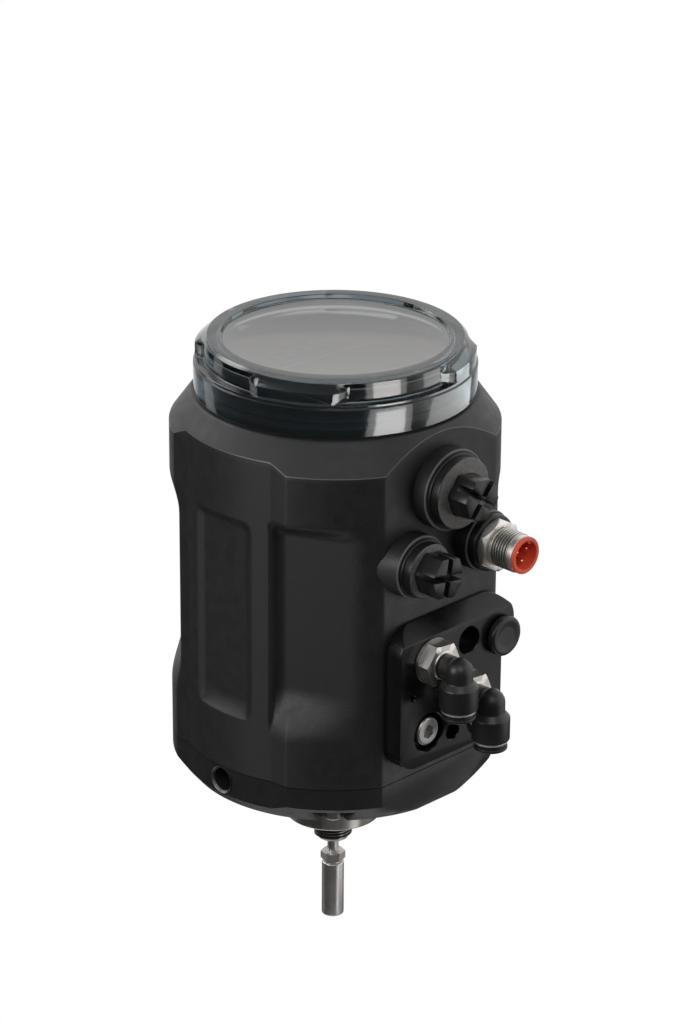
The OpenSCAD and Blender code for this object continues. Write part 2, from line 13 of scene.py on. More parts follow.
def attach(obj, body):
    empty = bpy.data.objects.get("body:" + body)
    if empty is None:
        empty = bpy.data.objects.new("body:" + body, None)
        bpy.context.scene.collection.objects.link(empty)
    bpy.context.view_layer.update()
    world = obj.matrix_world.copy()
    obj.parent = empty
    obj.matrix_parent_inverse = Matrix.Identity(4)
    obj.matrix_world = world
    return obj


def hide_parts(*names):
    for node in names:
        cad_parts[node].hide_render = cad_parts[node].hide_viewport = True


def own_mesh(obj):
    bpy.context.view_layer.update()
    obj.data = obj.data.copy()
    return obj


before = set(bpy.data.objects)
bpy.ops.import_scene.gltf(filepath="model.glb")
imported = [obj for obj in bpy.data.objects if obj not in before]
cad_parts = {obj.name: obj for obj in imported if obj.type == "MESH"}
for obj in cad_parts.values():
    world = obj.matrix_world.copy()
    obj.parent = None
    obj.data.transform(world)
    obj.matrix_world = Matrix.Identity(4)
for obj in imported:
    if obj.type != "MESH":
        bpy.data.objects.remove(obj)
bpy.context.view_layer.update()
scene = bpy.context.scene
MM = 0.001

# Sizes shared with the CAD
RIB_R = 50.0
SIDE_R = 48.0
FACE = 44.2
SEAM = 12.5
TOP = 122.5
EDGE = TOP - 9.3
CAVITY_R = 38.0
CAVITY_TOP = TOP - 8
LID_R = 42.6
SHOULDER_R = LID_R + 0.7
NECK_R = LID_R - 3.4
NECK_TOP = TOP + 8.1
NECK_BORE = NECK_R - 3.2
LEDGE_R = NECK_BORE - 2.4
PANEL_Z = NECK_TOP - 1.8
PANEL_UNDER = PANEL_Z - 1.4
LID_TOP = TOP + 17.3
LID_BAND = TOP + 9.4
LID_RING = LID_R - 4.2
LID_BORE = NECK_R + 0.3
LID_CAVITY = NECK_BORE - 0.2
WINDOW_R = LID_RING - 4.4
WINDOW_TOP = LID_TOP - 1.2
WINDOW_UNDER = WINDOW_TOP - 2.4
GRIP_FLOOR = LID_R - 3.0
BOSS = 5.0
BLOCK = 6.2
BLOCK_W = 44.0
BLOCK_L = 45.6
BLOCK_X = -22.6
BLOCK_Z = SEAM + 6.0
BLOCK_TOP = BLOCK_Z + BLOCK_L
PLUG_A = (0.6, TOP - 18.9)
PLUG_B = (-13.2, TOP - 39.5)
CONN = (15.4, TOP - 39.5)
CONN_TIP = BOSS + 15.5
CONN_HEX = BOSS + 2.6
PORT_A = (-9.3, BLOCK_Z + 33.9)
PORT_B = (5.0, BLOCK_Z + 19.1)
VENT = (20.6, BLOCK_Z + 32.7)
EXHAUST = (6.8, BLOCK_Z + 35.1)
SCREWS = ((-10.0, BLOCK_Z + 10.3), (12.6, BLOCK_Z + 8.4))
PIT = (0.3, BLOCK_Z + 7.0)
HEX_Z = BLOCK + 0.7
HEX_TOP = HEX_Z + 4.4
ELBOW_Z = HEX_TOP + 6.1

# Camera at the photograph's place
CAMERA_AT = (-0.75067, -0.75198, 0.53295)
CAMERA_TURN = -45.06
CAMERA_RISE = 23.0
CAMERA_ROLL = 0.35
FOCAL_PIXELS = 3801
PICTURE_H = 1024
SENSOR = 36.0


def set_camera():
    data = bpy.data.cameras.new("camera")
    data.sensor_width = SENSOR
    data.lens = SENSOR * FOCAL_PIXELS / PICTURE_H
    data.clip_start = 0.05
    data.clip_end = 20
    camera = bpy.data.objects.new("camera", data)
    scene.collection.objects.link(camera)
    turn = math.radians(CAMERA_TURN)
    rise = math.radians(CAMERA_RISE)
    back = Vector((math.sin(turn) * math.cos(rise), -math.cos(turn) * math.cos(rise), math.sin(rise)))
    aim = (-back).to_track_quat("-Z", "Y").to_matrix().to_4x4()
    roll = Matrix.Rotation(math.radians(CAMERA_ROLL), 4, "Z")
    camera.matrix_world = Matrix.Translation(CAMERA_AT) @ aim @ roll
    scene.camera = camera


set_camera()


# Finishes
RELIEF = 0.0001
CLOUD = 14
LATHE_STRENGTH = 0.18
MIX_SHARE = 0
MIX_DARK = 6
MIX_LIGHT = 7
MIX_RESULT = 2


def finish(name, colour, rough, metal=0.0, grain=0.1, grain_mm=0.4, fleck=0.12, spread=0.05, turning=0.0,
           spec=0.5):
    """A finish whose tone, gloss and relief vary a little; turning, where given, spaces its lathe lines."""
    made = bpy.data.materials.new(name)
    made.use_nodes = True
    nodes = made.node_tree.nodes
    links = made.node_tree.links
    shader = nodes["Principled BSDF"]
    shader.inputs["Metallic"].default_value = metal
    shader.inputs["Specular IOR Level"].default_value = spec
    place = nodes.new("ShaderNodeTexCoord")
    noise = nodes.new("ShaderNodeTexNoise")
    noise.inputs["Scale"].default_value = 1000 / grain_mm
    noise.inputs["Detail"].default_value = 3
    links.new(place.outputs["Object"], noise.inputs["Vector"])
    cloud = nodes.new("ShaderNodeTexNoise")
    cloud.inputs["Scale"].default_value = 1000 / (grain_mm * CLOUD)
    links.new(place.outputs["Object"], cloud.inputs["Vector"])
    tone = nodes.new("ShaderNodeMix")
    tone.data_type = "RGBA"
    tone.inputs[MIX_DARK].default_value = (*(c * (1 - fleck) for c in colour), 1)
    tone.inputs[MIX_LIGHT].default_value = (*(min(c * (1 + fleck), 1) for c in colour), 1)
    links.new(noise.outputs["Fac"], tone.inputs[MIX_SHARE])
    links.new(tone.outputs[MIX_RESULT], shader.inputs["Base Color"])
    span = nodes.new("ShaderNodeMapRange")
    span.inputs["From Min"].default_value = 0.3
    span.inputs["From Max"].default_value = 0.7
    span.inputs["To Min"].default_value = max(rough - spread, 0.02)
    span.inputs["To Max"].default_value = rough + spread
    links.new(cloud.outputs["Fac"], span.inputs["Value"])
    links.new(span.outputs["Result"], shader.inputs["Roughness"])
    bump = nodes.new("ShaderNodeBump")
    bump.inputs["Strength"].default_value = grain
    bump.inputs["Distance"].default_value = RELIEF
    links.new(noise.outputs["Fac"], bump.inputs["Height"])
    last = bump
    if turning:
        wave = nodes.new("ShaderNodeTexWave")
        wave.bands_direction = "Z"
        wave.inputs["Scale"].default_value = 1000 / (turning * 20)
        wave.inputs["Distortion"].default_value = 1.5
        links.new(place.outputs["Object"], wave.inputs["Vector"])
        groove = nodes.new("ShaderNodeBump")
        groove.inputs["Strength"].default_value = LATHE_STRENGTH
        groove.inputs["Distance"].default_value = RELIEF
        links.new(wave.outputs["Fac"], groove.inputs["Height"])
        links.new(bump.outputs["Normal"], groove.inputs["Normal"])
        last = groove
    links.new(last.outputs["Normal"], shader.inputs["Normal"])
    return made


def clear_finish(name, colour, rough, coat, turning=0.0):
    """A smoked clear plastic, with or without a glossy coat."""
    made = finish(name, colour, rough, grain=0.01, grain_mm=3.0, fleck=0.02, spread=0.01, turning=turning)
    shader = made.node_tree.nodes["Principled BSDF"]
    shader.inputs["Transmission Weight"].default_value = 1.0
    shader.inputs["IOR"].default_value = 1.58
    shader.inputs["Specular Tint"].default_value = (1.0, 0.975, 0.945, 1)
    shader.inputs["Coat Weight"].default_value = coat
    shader.inputs["Coat Roughness"].default_value = 0.02
    return made


ANODISED = finish("anodised_black", (0.009, 0.009, 0.0095), 0.5, grain=0.6, grain_mm=0.3, fleck=0.5)
BLOCK_BLACK = finish("block_black", (0.005, 0.005, 0.0055), 0.28, grain=0.06, grain_mm=0.4, spec=0.35)
SPIGOT_STEEL = finish("spigot_steel", (0.48, 0.46, 0.44), 0.3, metal=1.0, grain=0.05, grain_mm=0.6)
NIPPLE_STEEL = finish("nipple_steel", (0.36, 0.345, 0.33), 0.3, metal=1.0, grain=0.04, grain_mm=0.6)
# Darker metals for thread flanks: painted shade between the ridges.
FLANK_PAINTED_SHADE = finish("thread_flank_painted_shade", (0.16, 0.15, 0.14), 0.35, metal=1.0)
PLATED_FLANK_PAINTED_SHADE = finish("plated_flank_painted_shade", (0.4, 0.385, 0.36), 0.4, metal=1.0)
STEEL = finish("turned_steel", (0.56, 0.545, 0.53), 0.36, metal=1.0, grain=0.04, grain_mm=0.6)
NICKEL = finish("nickel_plate", (0.7, 0.675, 0.635), 0.36, metal=1.0, grain=0.12, grain_mm=0.5)
SATIN_NICKEL = finish("satin_nickel", (0.84, 0.81, 0.765), 0.48, metal=1.0, grain=0.2, grain_mm=0.4)
WASHER_GREY = finish("washer_grey", (0.2, 0.195, 0.185), 0.42, metal=1.0)
# A light metal grey for the clamp hole's rim: painted highlight on the chamfer.
RIM_PAINTED_HIGHLIGHT = finish("rim_painted_highlight", (0.16, 0.16, 0.16), 0.42, metal=1.0)
# Lighter grey for the housing's shoulder edge and the bosses' front rims: painted highlight where the edges
# catch light, partly wear.
EDGE_WEAR_AND_HIGHLIGHT = finish("edge_wear_and_highlight", (0.085, 0.085, 0.086), 0.42, grain=0.2, grain_mm=0.3)
# Lighter grey for the neck's thread seen through the lid: painted highlight on its lit ridges.
THREAD_PAINTED_HIGHLIGHT = finish("thread_painted_highlight", (0.2, 0.2, 0.21), 0.35, grain=0.2, grain_mm=0.3)
RUBBER = finish("seal_rubber", (0.008, 0.008, 0.008), 0.4)
PLUG_PLASTIC = finish("plug_plastic", (0.009, 0.009, 0.009), 0.3, grain=0.2, grain_mm=0.7, fleck=0.25)
PLUG_FACE = finish("plug_rough_face", (0.12, 0.115, 0.11), 0.5, grain=1.0, grain_mm=0.9, fleck=0.6)
FITTING = finish("fitting_plastic", (0.014, 0.014, 0.0145), 0.38, grain=0.08)
RED = finish("red_insert", (0.82, 0.105, 0.05), 0.42)
GOLD = finish("gold_contact", (0.85, 0.6, 0.22), 0.25, metal=1.0)
PANEL = finish("panel_film", (0.055, 0.05, 0.047), 0.5, grain=0.15, grain_mm=0.2)
SCREEN = finish("display_glass", (0.06, 0.066, 0.066), 0.15, grain=0.01)
KEY = finish("key_pad", (0.09, 0.082, 0.078), 0.5)
PANEL_LINE = finish("panel_line", (0.8, 0.76, 0.72), 0.5)
SMOKED = clear_finish("smoked_lid", (0.13, 0.165, 0.185), 0.09, 0.0, 0.7)
SMOKED_WINDOW = clear_finish("smoked_window", (0.36, 0.33, 0.3), 0.02, 0.6)
BRASS = finish("brass", (0.6, 0.45, 0.2), 0.35, metal=1.0)
BOARD = finish("circuit_board", (0.02, 0.11, 0.05), 0.45)
SPRING = finish("spring_wire", (0.5, 0.5, 0.5), 0.3, metal=1.0)
DARK_PLASTIC = finish("dark_plastic", (0.05, 0.052, 0.055), 0.5)
PALE_PLASTIC = finish("pale_plastic", (0.65, 0.62, 0.54), 0.5)
ALLOY = finish("milled_alloy", (0.5, 0.5, 0.51), 0.4, metal=1.0, turning=0.8)
DARK_STEEL = finish("dark_steel", (0.12, 0.12, 0.125), 0.35, metal=1.0)
FILTER = finish("filter_felt", (0.55, 0.52, 0.46), 0.85, grain=0.9, grain_mm=0.5)


# Ways of making a shape
FILLET_STEPS = 5
FILLET_MOST = 0.98
CORNER_STEPS = 10
MERGE = 1e-4
CREST_FROM = 0.3
CREST_TO = 0.55
RIDGE_END = 0.85
FLANK_TILT = 0.8
FLAT_SHARE = math.cos(math.radians(30))
OUTWARD = Matrix(((1, 0, 0), (0, 0, -1), (0, 1, 0))).to_4x4()


def fillet(shape, vert, radius):
    one, two = [edge.other_vert(vert).co - vert.co for edge in vert.link_edges]
    half = one.angle(two) / 2
    reach = min(radius / math.tan(half), one.length * FILLET_MOST, two.length * FILLET_MOST)
    bmesh.ops.bevel(shape, geom=[vert], offset=reach, offset_type="OFFSET", affect="VERTICES",
                    segments=FILLET_STEPS, profile=0.5, clamp_overlap=False, material=-1)


def profile(corners):
    """A wire through (radius, height) corners, each with an optional fillet.

    It is closed unless one of its ends lies on the axis.
    """
    shape = bmesh.new()
    verts = [shape.verts.new((corner[0], 0, corner[1])) for corner in corners]
    for one, two in zip(verts, verts[1:]):
        shape.edges.new((one, two))
    if corners[0][0] > 0 and corners[-1][0] > 0:
        shape.edges.new((verts[-1], verts[0]))
    for vert, corner in zip(verts, corners):
        if len(corner) == 3:
            fillet(shape, vert, corner[2])
    return shape


def verts_of(geom):
    return [part for part in geom if isinstance(part, bmesh.types.BMVert)]


def sweep(shape, angle, steps, rise=0.0, merge=False):
    """Spins a wire about the axis, with the same rise at every step."""
    bmesh.ops.spin(shape, geom=shape.verts[:] + shape.edges[:], cent=(0, 0, 0), axis=(0, 0, 1),
                   dvec=(0, 0, rise), angle=angle, steps=steps, use_merge=merge)


def merged(shape):
    bmesh.ops.remove_doubles(shape, verts=shape.verts, dist=MERGE)
    bmesh.ops.recalc_face_normals(shape, faces=shape.faces)
    return shape


def capped(shape):
    """Closes the two ends of a swept coil."""
    bmesh.ops.holes_fill(shape, edges=[edge for edge in shape.edges if edge.is_boundary], sides=0)
    bmesh.ops.recalc_face_normals(shape, faces=shape.faces)
    return shape


def spun(shape, segments=96):
    sweep(shape, math.tau, segments, merge=True)
    return merged(shape)


def spun_fine(shape, segments):
    """A full turn in many steps: an eighth is spun, then doubled three times."""
    sweep(shape, math.tau / 8, segments // 8)
    for share in (8, 4, 2):
        copy = bmesh.ops.duplicate(shape, geom=shape.verts[:] + shape.edges[:] + shape.faces[:])
        turn = Matrix.Rotation(math.tau / share, 3, "Z")
        bmesh.ops.rotate(shape, cent=(0, 0, 0), matrix=turn, verts=verts_of(copy["geom"]))
    return merged(shape)


def turned(corners, segments=96):
    return spun(profile(corners), segments)


def thread(crest, depth, pitch, low, high, segments=64):
    """A closed helical ridge that stands on a turned core; its flanks take the second look, a darker one that
    paints shade between the ridges.
    """
    root = crest - depth - 0.1
    shape = profile([(root, low), (crest, low + CREST_FROM * pitch), (crest, low + CREST_TO * pitch),
                     (root, low + RIDGE_END * pitch)])
    steps = int(((high - low) / pitch - 1) * segments)
    sweep(shape, math.tau * steps / segments, steps, pitch / segments)
    capped(shape)
    for face in shape.faces:
        if face.normal.xy.length < FLANK_TILT:
            face.material_index = 1
    return shape


def cut_away(shape, point, normal):
    """Takes off what lies beyond a plane and closes the cut."""
    cut = bmesh.ops.bisect_plane(shape, geom=shape.verts[:] + shape.edges[:] + shape.faces[:], dist=1e-5,
                                 plane_co=point, plane_no=normal, clear_outer=True)
    rim = [part for part in cut["geom_cut"] if isinstance(part, bmesh.types.BMEdge)]
    if rim:
        bmesh.ops.edgeloop_fill(shape, edges=rim)
    return shape


def six_flats(shape, across, turn=0.0):
    """Cuts a round blank to a hexagon, across being from its axis to a flat."""
    for side in range(6):
        angle = math.radians(turn + 30 + 60 * side)
        normal = Vector((math.cos(angle), math.sin(angle), 0))
        cut_away(shape, normal * across, normal)
    return shape


def hex_nut(corner, bore, low, high, turn=0.0, trim=0.6, steep=0.55):
    """A hexagon nut whose corners are trimmed to a share of the way to the flats."""
    across = corner * FLAT_SHARE
    face_r = corner - (corner - across) * trim
    drop = (corner - face_r) * steep
    blank = turned([(bore, low), (face_r, low), (corner, low + drop), (corner, high - drop), (face_r, high),
                    (bore, high)], 120)
    return six_flats(blank, across, turn)


def soften(shape, width, segments=3, angle=35.0):
    least = math.radians(angle)
    edges = [edge for edge in shape.edges if edge.is_manifold and edge.calc_face_angle(0) > least]
    bmesh.ops.bevel(shape, geom=edges, offset=width, offset_type="OFFSET", affect="EDGES", segments=segments,
                    profile=0.5, clamp_overlap=True, material=-1)
    return shape


def slab(points, low, high, *corners):
    """A plate with the outline points, its corners rounded in plan, all alike or each by its own radius."""
    shape = bmesh.new()
    face = shape.faces.new([shape.verts.new((x, y, low)) for x, y in points])
    for vert, corner in zip(list(face.verts), corners * len(points)):
        if not corner:
            continue
        bmesh.ops.bevel(shape, geom=[vert], offset=corner, offset_type="OFFSET", affect="VERTICES",
                        segments=CORNER_STEPS, profile=0.5, clamp_overlap=False, material=-1)
    grown = bmesh.ops.extrude_face_region(shape, geom=shape.faces[:])
    bmesh.ops.translate(shape, vec=(0, 0, high - low), verts=verts_of(grown["geom"]))
    bmesh.ops.recalc_face_normals(shape, faces=shape.faces)
    return shape


def box_points(x0, y0, x1, y1):
    return [(x0, y0), (x1, y0), (x1, y1), (x0, y1)]


def put(shape, matrix):
    bmesh.ops.transform(shape, matrix=matrix, verts=shape.verts)
    return shape


def joined(*shapes):
    whole = bmesh.new()
    for shape in shapes:
        mesh = bpy.data.meshes.new("step")
        shape.to_mesh(mesh)
        shape.free()
        whole.from_mesh(mesh)
        bpy.data.meshes.remove(mesh)
    return whole


def carved(shape, *cutters):
    """The shape less the cutters."""
    blocks = []
    for part in (shape, joined(*cutters)):
        mesh = bpy.data.meshes.new("step")
        part.to_mesh(mesh)
        part.free()
        blocks.append(bpy.data.objects.new("step", mesh))
        scene.collection.objects.link(blocks[-1])
    cut = blocks[0].modifiers.new("cut", "BOOLEAN")
    cut.operation = "DIFFERENCE"
    cut.solver = "EXACT"
    cut.object = blocks[1]
    done = bmesh.new()
    done.from_object(blocks[0], bpy.context.evaluated_depsgraph_get())
    for block in blocks:
        mesh = block.data
        bpy.data.objects.remove(block)
        bpy.data.meshes.remove(mesh)
    return done


def face_place(spot):
    """From a fitting's own frame, +Z out of the connector face and +Y up, to the part's frame."""
    return Matrix.Translation((spot[0], -FACE, spot[1])) @ OUTWARD


def leg_place(out):
    """From an elbow leg's own frame, +Z down the leg, to the fitting's frame."""
    return Matrix.Translation((0, 0, out)) @ OUTWARD


def show(name, shape, body, nodes, look, sharp=32.0, second=None):
    """Makes a finished piece of a shape: it rides on a body and stands for the CAD nodes."""
    bmesh.ops.scale(shape, vec=(MM, MM, MM), verts=shape.verts)
    mesh = bpy.data.meshes.new(name)
    shape.to_mesh(mesh)
    shape.free()
    mesh.polygons.foreach_set("use_smooth", [True] * len(mesh.polygons))
    mesh.set_sharp_from_angle(angle=math.radians(sharp))
    mesh.materials.append(look)
    if second:
        mesh.materials.append(second)
    made = bpy.data.objects.new(name, mesh)
    scene.collection.objects.link(made)
    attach(made, body)
    if nodes:
        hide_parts(*nodes)
    return made


def ease(low, high, value):
    """A smooth rise from 0 at low to 1 at high."""
    part = np.clip((value - low) / (high - low), 0, 1)
    return part * part * (3 - 2 * part)


def read_verts(shape):
    return np.array([vert.co[:] for vert in shape.verts])


def move_verts(shape, places):
    for vert, place in zip(shape.verts, places):
        vert.co = place


# Housing
RIB_HALF = 16.5
RAMP_HALF = 23.2
CONE_RUN = (RIB_R - SHOULDER_R) / (TOP - EDGE)
FACE_MIDDLE = 270
PLANE_REACH = 60
RIB_TO_FACE = 30
PLAN_STEP = 0.05
ROUND_STEPS = 24
ROUND_SPREAD = 0.3
POCKET_FOOT = (27.5, 43.0)
REAR_POCKET_TOP = (87.0, 98.0)
REAR_POCKET_FLOOR = RIB_R - 3.4
FRONT_POCKET_TOP = (92.0, 98.0)
FRONT_POCKET_FLOOR = RIB_R - 6.4
FRONT_POCKET_WALL = (-4.0, -2.4)
SIDE_POCKET_LOW = 31.0
SIDE_POCKET_TOP = (92.4, 96.0)
SIDE_POCKET_WALL = (11.0, 14.9)
SIDE_POCKET_FLOOR = SIDE_R - 2.4
RISE_FROM = 104
FINE_STEPS = 720
BOSS_ROOT = -3
BOSS_EDGE = 0.45
BOSSES = ((PLUG_A, 12.6), (PLUG_B, 10.0), (CONN, 9.5))
BULGE = 3.2
BULGE_TURN = 0.22
BULGE_HALF = 1.1

# Each rib: its middle angle and the sides on which it ramps down
RIBS = ((45, (-1, 1)), (135, (-1, 1)), (225, (-1,)), (315, (1,)))


def away_from(angles, middle):
    """Angles measured either way from a middle one, in degrees."""
    return (angles - middle + 180) % 360 - 180


def plan_point(radius, degrees):
    turn = math.radians(degrees)
    return np.array((radius * math.cos(turn), radius * math.sin(turn)))


def plan_radius(angles):
    """Outline of the housing seen from above, its corners very slightly rounded."""
    fine = np.arange(0, 360, PLAN_STEP)
    radius = np.full(fine.shape, SIDE_R)
    high = plan_point(RIB_R, RIB_HALF)
    foot = plan_point(SIDE_R, RAMP_HALF)
    across = np.array((foot[1] - high[1], high[0] - foot[0]))
    for middle, ramps in RIBS:
        off = away_from(fine, middle)
        radius = np.where(np.abs(off) <= RIB_HALF, RIB_R, radius)
        for side in (-1, 1):
            mine = off * side
            if side not in ramps:
                radius = np.where((mine > 0) & (mine < RIB_TO_FACE), RIB_R, radius)
                continue
            turn = np.radians(mine)
            line = (across @ high) / (across[0] * np.cos(turn) + across[1] * np.sin(turn))
            radius = np.where((mine > RIB_HALF) & (mine < RAMP_HALF), line, radius)
    off = away_from(fine, FACE_MIDDLE)
    flat = FACE / np.cos(np.radians(np.clip(off, -PLANE_REACH, PLANE_REACH)))
    radius = np.where(np.abs(off) < PLANE_REACH, np.minimum(radius, flat), radius)
    steps = np.arange(-ROUND_STEPS, ROUND_STEPS + 1)
    weight = np.exp(-0.5 * (steps * PLAN_STEP / ROUND_SPREAD) ** 2)
    wrapped = np.concatenate([radius[-ROUND_STEPS:], radius, radius[:ROUND_STEPS]])
    radius = np.convolve(wrapped, weight / weight.sum(), "valid")
    return np.interp(angles % 360, np.append(fine, 360), np.append(radius, radius[0]))


def below_plane(angles, radius, middle, floor, blend):
    """How far the outline stands out past a flat pocket floor, with a soft start."""
    off = away_from(angles, middle)
    past = radius - floor / np.cos(np.radians(np.clip(off, -PLANE_REACH, PLANE_REACH)))
    near = np.maximum(blend - np.abs(past), 0) / blend
    return (np.maximum(past, 0) + near * near * blend / 4) * (np.abs(off) < PLANE_REACH)


def pocket_depth(angles, radius, height):
    """How far the wall lies behind the outline, in the rear corner, front corner and side pockets."""
    foot = ease(*POCKET_FOOT, height)
    rear = foot * (1 - ease(*REAR_POCKET_TOP, height))
    front = foot * (1 - ease(*FRONT_POCKET_TOP, height))
    depth = np.zeros(angles.shape)
    for middle in (45, 135):
        depth = np.maximum(depth, rear * below_plane(angles, radius, middle, REAR_POCKET_FLOOR, 0.8))
    for middle, sign in ((205, 1), (335, -1)):
        side = away_from(angles, middle) * sign
        wall = ease(*FRONT_POCKET_WALL, side)
        root = 1 - (1 - np.clip((side - FRONT_POCKET_WALL[1]) / 3.4, 0, 1)) ** 2
        cut = 0.82 * wall + 0.18 * root
        depth = np.maximum(depth, front * cut * below_plane(angles, radius, middle, FRONT_POCKET_FLOOR, 1.7))
    for middle in (0, 90, 180):
        off = np.abs(away_from(angles, middle))
        rounding = 3.5 * (1 - np.sqrt(1 - np.clip((off - 10.5) / 4.4, 0, 1) ** 2))
        low = np.clip((height - SIDE_POCKET_LOW - rounding) / 6.0, 0, 1)
        ends = (1 - (1 - low) ** 2) * (1 - ease(*SIDE_POCKET_TOP, height + rounding))
        cut = 1 - ease(*SIDE_POCKET_WALL, off)
        depth = np.maximum(depth, ends * cut * below_plane(angles, radius, middle, SIDE_POCKET_FLOOR, 0.3))
    return depth


def widen_left(boss):
    """Draws the foot of a boss out to a soft corner on its left."""
    place = read_verts(boss)
    turn = np.abs(np.arctan2(place[:, 1], -place[:, 0]) - BULGE_TURN)
    foot = np.clip((BOSS - 0.5 - place[:, 2]) / (BOSS + 2.5), 0, 1)
    place[:, 0] -= BULGE * foot * np.clip(1 - (turn / BULGE_HALF) ** 1.5, 0, 1)
    move_verts(boss, place)


def make_bosses():
    """The round bosses on the connector face, their front rims in a lighter grey: painted highlight, partly
    wear.
    """
    bosses = []
    for spot, radius in BOSSES:
        boss = turned([(0, BOSS_ROOT), (radius, BOSS_ROOT), (radius, BOSS, BOSS_EDGE), (0, BOSS)])
        # Faces on the front rim take the second look: painted highlight, partly wear.
        for face in boss.faces:
            middle = face.calc_center_median()
            if middle.z > BOSS - 0.42 and middle.xy.length > radius - 0.43:
                face.material_index = 1
        if spot is PLUG_B:
            widen_left(boss)
        bosses.append(put(boss, face_place(spot)))
    return bosses


def make_housing():
    heights = [SEAM + 0.3, 14, 18, 23, *np.arange(26, 46, 0.6), *np.arange(48, 85, 4)]
    heights += [*np.arange(86, 99.5, 0.5), 30.9, 31.1, 95.9, 96.1]
    heights += [102, RISE_FROM, 109, EDGE - 1.5, EDGE - 0.15]
    shape = profile([(CAVITY_R, CAVITY_TOP), (CAVITY_R, SEAM + 0.02), (RIB_R - 0.3, SEAM + 0.02)]
                    + [(RIB_R, height) for height in sorted(heights)]
                    + [(SHOULDER_R + (RIB_R - SHOULDER_R) * part, TOP - (TOP - EDGE) * part)
                       for part in (0.985, 0.96, 0.7, 0.4, 0.1, 0.03)]
                    + [(SHOULDER_R - 0.2, TOP), (NECK_R - 0.6, TOP), (NECK_R - 0.6, NECK_TOP - 0.4),
                       (NECK_R - 1.0, NECK_TOP), (NECK_BORE, NECK_TOP), (NECK_BORE, PANEL_UNDER),
                       (LEDGE_R, PANEL_UNDER), (LEDGE_R, CAVITY_TOP)])
    spun_fine(shape, FINE_STEPS)
    place = read_verts(shape)
    angles = np.degrees(np.arctan2(place[:, 1], place[:, 0])) % 360
    reach = np.hypot(place[:, 0], place[:, 1])
    height = place[:, 2]
    outline = plan_radius(angles)
    edge = TOP - (outline - SHOULDER_R) / CONE_RUN
    wall = (reach > RIB_R - 0.4) & (height < EDGE - 0.1)
    cone = (height > EDGE - 0.1) & (reach > SHOULDER_R + 0.05)
    part = (reach - SHOULDER_R) / (RIB_R - SHOULDER_R)
    cone_r = SHOULDER_R + part * (outline - SHOULDER_R)
    rise = np.clip((height - RISE_FROM) / (EDGE - RISE_FROM), 0, 1) * (edge - EDGE)
    new_r = np.where(wall, reach - RIB_R + outline - pocket_depth(angles, outline, height), reach)
    new_r = np.where(cone, cone_r, new_r)
    new_z = np.where(wall, height + rise, np.where(cone, TOP - (cone_r - SHOULDER_R) / CONE_RUN, height))
    turn = np.radians(angles)
    move_verts(shape, np.stack([new_r * np.cos(turn), new_r * np.sin(turn), new_z], -1))
    # The rows along the shoulder edge take the second look, a lighter grey: painted highlight along the edge,
    # partly wear.
    edge_row = (wall & (height > EDGE - 0.4)) | (cone & (part > 0.98))
    shape.verts.index_update()
    for face in shape.faces:
        if all(edge_row[vert.index] for vert in face.verts):
            face.material_index = 1
    cast = joined(shape, *make_bosses())
    whole = show("housing_casting", cast, "body", ["housing"], ANODISED, 38, EDGE_WEAR_AND_HIGHLIGHT)
    # The neck thread is lighter grey than the housing: painted highlight on its ridges.
    ridge = thread(NECK_R, 0.6, 2.4, TOP + 0.3, NECK_TOP - 0.3, 120)
    show("neck_thread", ridge, "body", [], THREAD_PAINTED_HIGHLIGHT, 32, THREAD_PAINTED_HIGHLIGHT)
    return whole


casting = make_housing()


# Clear screw lid
GRIP_MIDDLES = (-16.8, 73.2, 163.2, 253.2)
GRIP_HALF = 29.8
GRIP_LEAN = 0.25
GRIP_RAMP = 6.5


